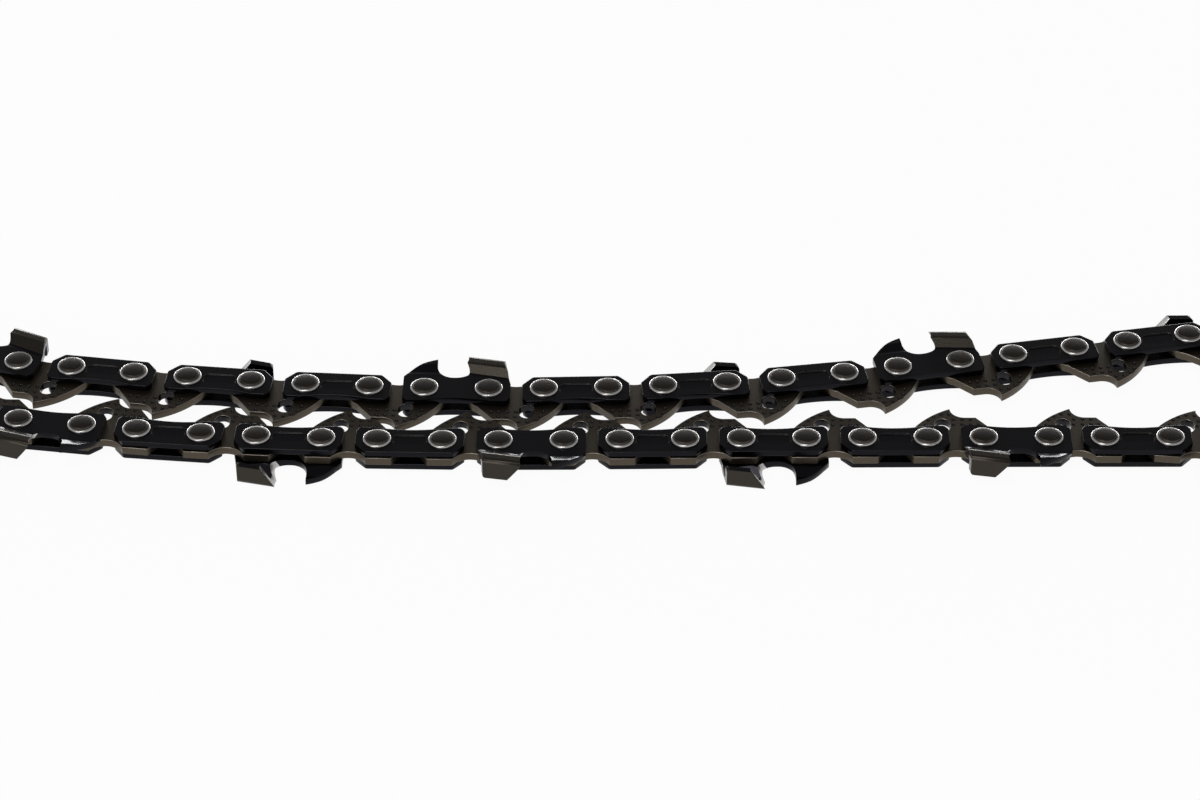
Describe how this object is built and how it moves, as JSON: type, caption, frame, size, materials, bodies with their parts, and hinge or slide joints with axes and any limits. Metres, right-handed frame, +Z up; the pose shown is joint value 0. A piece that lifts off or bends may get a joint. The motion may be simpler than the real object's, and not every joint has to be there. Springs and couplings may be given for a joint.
{
  "type": "chainsaw chain",
  "caption": "Riveted loop of hooked drive links, tie straps and alternating left and right cutters that turn on rivets.",
  "frame": {"origin": "centre of the loop's outline, on the surface it lies on", "axes": "+X along the loop, to the right in the picture; +Y across it, away from the viewer; +Z up, across the chain"},
  "size_m": [0.2701, 0.0462, 0.0056],
  "materials": {
    "blued_steel": "dark blued, glossy on bends",
    "bronzed_steel": "satin brown-grey oxide",
    "rivet_steel": "bright peened ring round a brown-grey face"
  },
  "bodies": {
    "left_cutter_link_01": {"left_cutter_link_01": "blued_steel"},
    "drive_link_01": {"drive_link_01": "bronzed_steel"},
    "tie_link_02": {"tie_link_02": "blued_steel"},
    "drive_link_02": {"drive_link_02": "bronzed_steel"},
    "right_cutter_link_03": {"right_cutter_link_03": "blued_steel"},
    "drive_link_03": {"drive_link_03": "bronzed_steel"},
    "tie_link_04": {"tie_link_04": "blued_steel"},
    "drive_link_04": {"drive_link_04": "bronzed_steel"},
    "left_cutter_link_05": {"left_cutter_link_05": "blued_steel"},
    "drive_link_05": {"drive_link_05": "bronzed_steel"},
    "tie_link_06": {"tie_link_06": "blued_steel"},
    "drive_link_06": {"drive_link_06": "bronzed_steel"},
    "right_cutter_link_07": {"right_cutter_link_07": "blued_steel"},
    "drive_link_07": {"drive_link_07": "bronzed_steel"},
    "tie_link_08": {"tie_link_08": "blued_steel"},
    "drive_link_08": {"drive_link_08": "bronzed_steel"},
    "left_cutter_link_09": {"left_cutter_link_09": "blued_steel"},
    "drive_link_09": {"drive_link_09": "bronzed_steel"},
    "tie_link_10": {"tie_link_10": "blued_steel"},
    "drive_link_10": {"drive_link_10": "bronzed_steel"},
    "right_cutter_link_11": {"right_cutter_link_11": "blued_steel"},
    "drive_link_11": {"drive_link_11": "bronzed_steel"},
    "tie_link_12": {"tie_link_12": "blued_steel"},
    "drive_link_12": {"drive_link_12": "bronzed_steel"},
    "left_cutter_link_13": {"left_cutter_link_13": "blued_steel"},
    "drive_link_13": {"drive_link_13": "bronzed_steel"},
    "tie_link_14": {"tie_link_14": "blued_steel"},
    "drive_link_14": {"drive_link_14": "bronzed_steel"},
    "right_cutter_link_15": {"right_cutter_link_15": "blued_steel"},
    "drive_link_15": {"drive_link_15": "bronzed_steel"},
    "tie_link_16": {"tie_link_16": "blued_steel"},
    "drive_link_16": {"drive_link_16": "bronzed_steel"},
    "left_cutter_link_17": {"left_cutter_link_17": "blued_steel"},
    "drive_link_17": {"drive_link_17": "bronzed_steel"},
    "tie_link_18": {"tie_link_18": "blued_steel"},
    "drive_link_18": {"drive_link_18": "bronzed_steel"},
    "right_cutter_link_19": {"right_cutter_link_19": "blued_steel"},
    "drive_link_19": {"drive_link_19": "bronzed_steel"},
    "tie_link_20": {"tie_link_20": "blued_steel"},
    "drive_link_20": {"drive_link_20": "bronzed_steel"},
    "left_cutter_link_21": {"left_cutter_link_21": "blued_steel"},
    "drive_link_21": {"drive_link_21": "bronzed_steel"},
    "tie_link_22": {"tie_link_22": "blued_steel"},
    "drive_link_22": {"drive_link_22": "bronzed_steel"},
    "right_cutter_link_23": {"right_cutter_link_23": "blued_steel"},
    "drive_link_23": {"drive_link_23": "bronzed_steel"},
    "tie_link_24": {"tie_link_24": "blued_steel"},
    "drive_link_24": {"drive_link_24": "bronzed_steel"},
    "left_cutter_link_25": {"left_cutter_link_25": "blued_steel"},
    "drive_link_25": {"drive_link_25": "bronzed_steel"},
    "tie_link_26": {"tie_link_26": "blued_steel"},
    "drive_link_26": {"drive_link_26": "bronzed_steel"},
    "right_cutter_link_27": {"right_cutter_link_27": "blued_steel"},
    "drive_link_27": {"drive_link_27": "bronzed_steel"},
    "tie_link_28": {"tie_link_28": "blued_steel"},
    "drive_link_28": {"drive_link_28": "bronzed_steel"},
    "left_cutter_link_29": {"left_cutter_link_29": "blued_steel"},
    "drive_link_29": {"drive_link_29": "bronzed_steel"},
    "tie_link_30": {"tie_link_30": "blued_steel"},
    "drive_link_30": {"drive_link_30": "bronzed_steel"}
  },
  "joints": [
    {"name": "rivet_pivot_26", "type": "hinge", "parent": "drive_link_13", "child": "left_cutter_link_13", "pos_m": [0.12828, 0.00093, 0.0028], "axis": [0, 0, -1], "range_deg": [0, 46]},
    {"name": "rivet_pivot_25", "type": "hinge", "parent": "left_cutter_link_13", "child": "drive_link_12", "pos_m": [0.12428, 0.01014, 0.0028], "axis": [0, 0, 1], "range_deg": [-46, 0]},
    {"name": "rivet_pivot_24", "type": "hinge", "parent": "drive_link_12", "child": "tie_link_12", "pos_m": [0.11703, 0.01476, 0.0028], "axis": [0, 0, -1], "range_deg": [0, 43.1]},
    {"name": "rivet_pivot_23", "type": "hinge", "parent": "tie_link_12", "child": "drive_link_11", "pos_m": [0.10699, 0.015, 0.0028], "axis": [0, 0, 1], "range_deg": [-30, 0]},
    {"name": "rivet_pivot_22", "type": "hinge", "parent": "drive_link_11", "child": "right_cutter_link_11", "pos_m": [0.09875, 0.01254, 0.0028], "axis": [0, 0, -1], "range_deg": [0, 6]},
    {"name": "rivet_pivot_21", "type": "hinge", "parent": "right_cutter_link_11", "child": "drive_link_10", "pos_m": [0.08888, 0.0107, 0.0028], "axis": [0, 0, 1], "range_deg": [-11.9, 0]},
    {"name": "rivet_pivot_20", "type": "hinge", "parent": "drive_link_10", "child": "tie_link_10", "pos_m": [0.08042, 0.00913, 0.0028], "axis": [0, 0, -1], "range_deg": [0, 11.9]},
    {"name": "rivet_pivot_19", "type": "hinge", "parent": "tie_link_10", "child": "drive_link_09", "pos_m": [0.07055, 0.00732, 0.0028], "axis": [0, 0, 1], "range_deg": [-11.9, 0]},
    {"name": "rivet_pivot_18", "type": "hinge", "parent": "drive_link_09", "child": "left_cutter_link_09", "pos_m": [0.06209, 0.00578, 0.0028], "axis": [0, 0, -1], "range_deg": [0, 11.9]},
    {"name": "rivet_pivot_17", "type": "hinge", "parent": "left_cutter_link_09", "child": "drive_link_08", "pos_m": [0.05221, 0.004, 0.0028], "axis": [0, 0, 1], "range_deg": [-11.9, 0]},
    {"name": "rivet_pivot_16", "type": "hinge", "parent": "drive_link_08", "child": "tie_link_08", "pos_m": [0.04374, 0.00249, 0.0028], "axis": [0, 0, -1], "range_deg": [0, 10.3]},
    {"name": "rivet_pivot_15", "type": "hinge", "parent": "tie_link_08", "child": "drive_link_07", "pos_m": [0.03381, 0.00103, 0.0028], "axis": [0, 0, 1], "range_deg": [-10.3, 0]},
    {"name": "rivet_pivot_14", "type": "hinge", "parent": "drive_link_07", "child": "right_cutter_link_07", "pos_m": [0.02527, 0.00002, 0.0028], "axis": [0, 0, -1], "range_deg": [0, 10.3]},
    {"name": "rivet_pivot_13", "type": "hinge", "parent": "right_cutter_link_07", "child": "drive_link_06", "pos_m": [0.01526, -0.00085, 0.0028], "axis": [0, 0, 1], "range_deg": [-10.3, 0]},
    {"name": "rivet_pivot_12", "type": "hinge", "parent": "drive_link_06", "child": "tie_link_06", "pos_m": [0.00668, -0.00135, 0.0028], "axis": [0, 0, -1], "range_deg": [0, 10.3]},
    {"name": "rivet_pivot_11", "type": "hinge", "parent": "tie_link_06", "child": "drive_link_05", "pos_m": [-0.00336, -0.00163, 0.0028], "axis": [0, 0, 1], "range_deg": [-10.3, 0]},
    {"name": "rivet_pivot_10", "type": "hinge", "parent": "drive_link_05", "child": "left_cutter_link_05", "pos_m": [-0.01196, -0.00161, 0.0028], "axis": [0, 0, -1], "range_deg": [0, 10.8]},
    {"name": "rivet_pivot_09", "type": "hinge", "parent": "left_cutter_link_05", "child": "drive_link_04", "pos_m": [-0.022, -0.00138, 0.0028], "axis": [0, 0, 1], "range_deg": [-10.8, 0]},
    {"name": "rivet_pivot_08", "type": "hinge", "parent": "drive_link_04", "child": "tie_link_04", "pos_m": [-0.03059, -0.00101, 0.0028], "axis": [0, 0, -1], "range_deg": [0, 10.8]},
    {"name": "rivet_pivot_07", "type": "hinge", "parent": "tie_link_04", "child": "drive_link_03", "pos_m": [-0.04061, -0.00036, 0.0028], "axis": [0, 0, 1], "range_deg": [-10.8, 0]},
    {"name": "rivet_pivot_06", "type": "hinge", "parent": "drive_link_03", "child": "right_cutter_link_03", "pos_m": [-0.04917, 0.00037, 0.0028], "axis": [0, 0, -1], "range_deg": [0, 10.8]},
    {"name": "rivet_pivot_05", "type": "hinge", "parent": "right_cutter_link_03", "child": "drive_link_02", "pos_m": [-0.05916, 0.00144, 0.0028], "axis": [0, 0, 1], "range_deg": [-10.8, 0]},
    {"name": "rivet_pivot_04", "type": "hinge", "parent": "drive_link_02", "child": "tie_link_02", "pos_m": [-0.06769, 0.00253, 0.0028], "axis": [0, 0, -1], "range_deg": [0, 10.8]},
    {"name": "rivet_pivot_03", "type": "hinge", "parent": "tie_link_02", "child": "drive_link_01", "pos_m": [-0.07762, 0.00402, 0.0028], "axis": [0, 0, 1], "range_deg": [-10.8, 0]},
    {"name": "rivet_pivot_02", "type": "hinge", "parent": "drive_link_01", "child": "left_cutter_link_01", "pos_m": [-0.0861, 0.00547, 0.0028], "axis": [0, 0, -1], "range_deg": [0, 5]},
    {"name": "rivet_pivot_01", "type": "hinge", "parent": "left_cutter_link_01", "child": "drive_link_30", "pos_m": [-0.09571, 0.00835, 0.0028], "axis": [0, 0, 1], "range_deg": [-5, 0]},
    {"name": "rivet_pivot_60", "type": "hinge", "parent": "drive_link_30", "child": "tie_link_30", "pos_m": [-0.10359, 0.01181, 0.0028], "axis": [0, 0, -1], "range_deg": [0, 5]},
    {"name": "rivet_pivot_59", "type": "hinge", "parent": "tie_link_30", "child": "drive_link_29", "pos_m": [-0.11222, 0.01693, 0.0028], "axis": [0, 0, 1], "range_deg": [-44.5, 0]},
    {"name": "rivet_pivot_58", "type": "hinge", "parent": "drive_link_29", "child": "left_cutter_link_29", "pos_m": [-0.12082, 0.01666, 0.0028], "axis": [0, 0, -1], "range_deg": [0, 47.5]},
    {"name": "rivet_pivot_57", "type": "hinge", "parent": "left_cutter_link_29", "child": "drive_link_28", "pos_m": [-0.1288, 0.01058, 0.0028], "axis": [0, 0, 1], "range_deg": [-48.7, 0]},
    {"name": "rivet_pivot_27", "type": "hinge", "parent": "drive_link_13", "child": "tie_link_14", "pos_m": [0.12672, -0.00753, 0.0028], "axis": [0, 0, -1], "range_deg": [-45.5, 0]},
    {"name": "rivet_pivot_28", "type": "hinge", "parent": "tie_link_14", "child": "drive_link_14", "pos_m": [0.11974, -0.01475, 0.0028], "axis": [0, 0, 1], "range_deg": [0, 43.5]},
    {"name": "rivet_pivot_29", "type": "hinge", "parent": "drive_link_14", "child": "right_cutter_link_15", "pos_m": [0.11142, -0.0169, 0.0028], "axis": [0, 0, -1], "range_deg": [-38.5, 0]},
    {"name": "rivet_pivot_30", "type": "hinge", "parent": "right_cutter_link_15", "child": "drive_link_15", "pos_m": [0.1016, -0.01482, 0.0028], "axis": [0, 0, 1], "range_deg": [0, 6]},
    {"name": "rivet_pivot_31", "type": "hinge", "parent": "drive_link_15", "child": "tie_link_16", "pos_m": [0.09304, -0.01392, 0.0028], "axis": [0, 0, -1], "range_deg": [-6, 0]},
    {"name": "rivet_pivot_32", "type": "hinge", "parent": "tie_link_16", "child": "drive_link_16", "pos_m": [0.083, -0.01392, 0.0028], "axis": [0, 0, 1], "range_deg": [0, 11.9]},
    {"name": "rivet_pivot_33", "type": "hinge", "parent": "drive_link_16", "child": "left_cutter_link_17", "pos_m": [0.0744, -0.01393, 0.0028], "axis": [0, 0, -1], "range_deg": [-11.9, 0]},
    {"name": "rivet_pivot_34", "type": "hinge", "parent": "left_cutter_link_17", "child": "drive_link_17", "pos_m": [0.06436, -0.01397, 0.0028], "axis": [0, 0, 1], "range_deg": [0, 11.9]},
    {"name": "rivet_pivot_35", "type": "hinge", "parent": "drive_link_17", "child": "tie_link_18", "pos_m": [0.05576, -0.01401, 0.0028], "axis": [0, 0, -1], "range_deg": [-11.9, 0]},
    {"name": "rivet_pivot_36", "type": "hinge", "parent": "tie_link_18", "child": "drive_link_18", "pos_m": [0.04572, -0.01408, 0.0028], "axis": [0, 0, 1], "range_deg": [0, 11.9]},
    {"name": "rivet_pivot_37", "type": "hinge", "parent": "drive_link_18", "child": "right_cutter_link_19", "pos_m": [0.03712, -0.01416, 0.0028], "axis": [0, 0, -1], "range_deg": [-11.9, 0]},
    {"name": "rivet_pivot_38", "type": "hinge", "parent": "right_cutter_link_19", "child": "drive_link_19", "pos_m": [0.02708, -0.01426, 0.0028], "axis": [0, 0, 1], "range_deg": [0, 11.9]},
    {"name": "rivet_pivot_39", "type": "hinge", "parent": "drive_link_19", "child": "tie_link_20", "pos_m": [0.01848, -0.01437, 0.0028], "axis": [0, 0, -1], "range_deg": [-11.9, 0]},
    {"name": "rivet_pivot_40", "type": "hinge", "parent": "tie_link_20", "child": "drive_link_20", "pos_m": [0.00845, -0.01451, 0.0028], "axis": [0, 0, 1], "range_deg": [0, 11.9]},
    {"name": "rivet_pivot_41", "type": "hinge", "parent": "drive_link_20", "child": "left_cutter_link_21", "pos_m": [-0.00015, -0.01464, 0.0028], "axis": [0, 0, -1], "range_deg": [-12.7, 0]},
    {"name": "rivet_pivot_42", "type": "hinge", "parent": "left_cutter_link_21", "child": "drive_link_21", "pos_m": [-0.01019, -0.01468, 0.0028], "axis": [0, 0, 1], "range_deg": [0, 12.7]},
    {"name": "rivet_pivot_43", "type": "hinge", "parent": "drive_link_21", "child": "tie_link_22", "pos_m": [-0.01879, -0.0146, 0.0028], "axis": [0, 0, -1], "range_deg": [-12.7, 0]},
    {"name": "rivet_pivot_44", "type": "hinge", "parent": "tie_link_22", "child": "drive_link_22", "pos_m": [-0.02883, -0.01439, 0.0028], "axis": [0, 0, 1], "range_deg": [0, 12.7]},
    {"name": "rivet_pivot_45", "type": "hinge", "parent": "drive_link_22", "child": "right_cutter_link_23", "pos_m": [-0.03743, -0.01411, 0.0028], "axis": [0, 0, -1], "range_deg": [-13.3, 0]},
    {"name": "rivet_pivot_46", "type": "hinge", "parent": "right_cutter_link_23", "child": "drive_link_23", "pos_m": [-0.04745, -0.01355, 0.0028], "axis": [0, 0, 1], "range_deg": [0, 13.3]},
    {"name": "rivet_pivot_47", "type": "hinge", "parent": "drive_link_23", "child": "tie_link_24", "pos_m": [-0.05602, -0.01287, 0.0028], "axis": [0, 0, -1], "range_deg": [-13.3, 0]},
    {"name": "rivet_pivot_48", "type": "hinge", "parent": "tie_link_24", "child": "drive_link_24", "pos_m": [-0.06601, -0.01186, 0.0028], "axis": [0, 0, 1], "range_deg": [0, 13.3]},
    {"name": "rivet_pivot_49", "type": "hinge", "parent": "drive_link_24", "child": "left_cutter_link_25", "pos_m": [-0.07455, -0.01079, 0.0028], "axis": [0, 0, -1], "range_deg": [-13.3, 0]},
    {"name": "rivet_pivot_50", "type": "hinge", "parent": "left_cutter_link_25", "child": "drive_link_25", "pos_m": [-0.08448, -0.00933, 0.0028], "axis": [0, 0, 1], "range_deg": [0, 4]},
    {"name": "rivet_pivot_51", "type": "hinge", "parent": "drive_link_25", "child": "tie_link_26", "pos_m": [-0.09308, -0.00927, 0.0028], "axis": [0, 0, -1], "range_deg": [-4, 0]},
    {"name": "rivet_pivot_52", "type": "hinge", "parent": "tie_link_26", "child": "drive_link_26", "pos_m": [-0.10303, -0.0106, 0.0028], "axis": [0, 0, 1], "range_deg": [0, 4]},
    {"name": "rivet_pivot_53", "type": "hinge", "parent": "drive_link_26", "child": "right_cutter_link_27", "pos_m": [-0.11131, -0.01291, 0.0028], "axis": [0, 0, -1], "range_deg": [-30.5, 0]},
    {"name": "rivet_pivot_54", "type": "hinge", "parent": "right_cutter_link_27", "child": "drive_link_27", "pos_m": [-0.12134, -0.0124, 0.0028], "axis": [0, 0, 1], "range_deg": [0, 45.5]},
    {"name": "rivet_pivot_55", "type": "hinge", "parent": "drive_link_27", "child": "tie_link_28", "pos_m": [-0.12826, -0.0073, 0.0028], "axis": [0, 0, -1], "range_deg": [-48.8, 0]}
  ]
}
